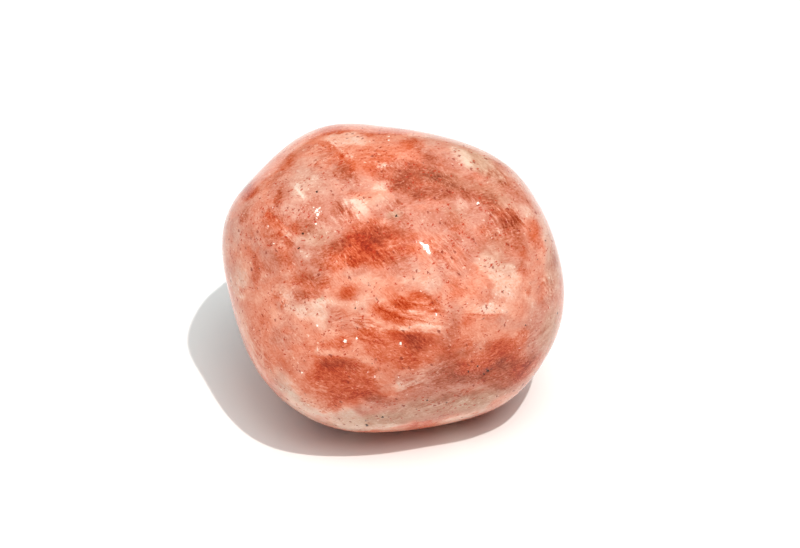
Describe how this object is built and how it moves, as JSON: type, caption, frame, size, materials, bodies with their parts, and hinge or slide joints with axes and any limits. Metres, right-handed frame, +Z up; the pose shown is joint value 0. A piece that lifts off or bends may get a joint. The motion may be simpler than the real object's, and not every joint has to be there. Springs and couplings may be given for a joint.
{
  "type": "tumbled sunstone",
  "caption": "Polished pebble of salmon-pink sunstone feldspar with softly worn flats, resting on its widest flat.",
  "frame": {"origin": "middle of the pebble's bounding box, on the surface it rests on", "axes": "+Z up, +X along the pebble's length, -Y towards the side seen in front"},
  "size_m": [0.0302, 0.0276, 0.0259],
  "materials": {
    "feldspar": "polished"
  },
  "bodies": {
    "root": {"sunstone": "feldspar"}
  },
  "joints": []
}
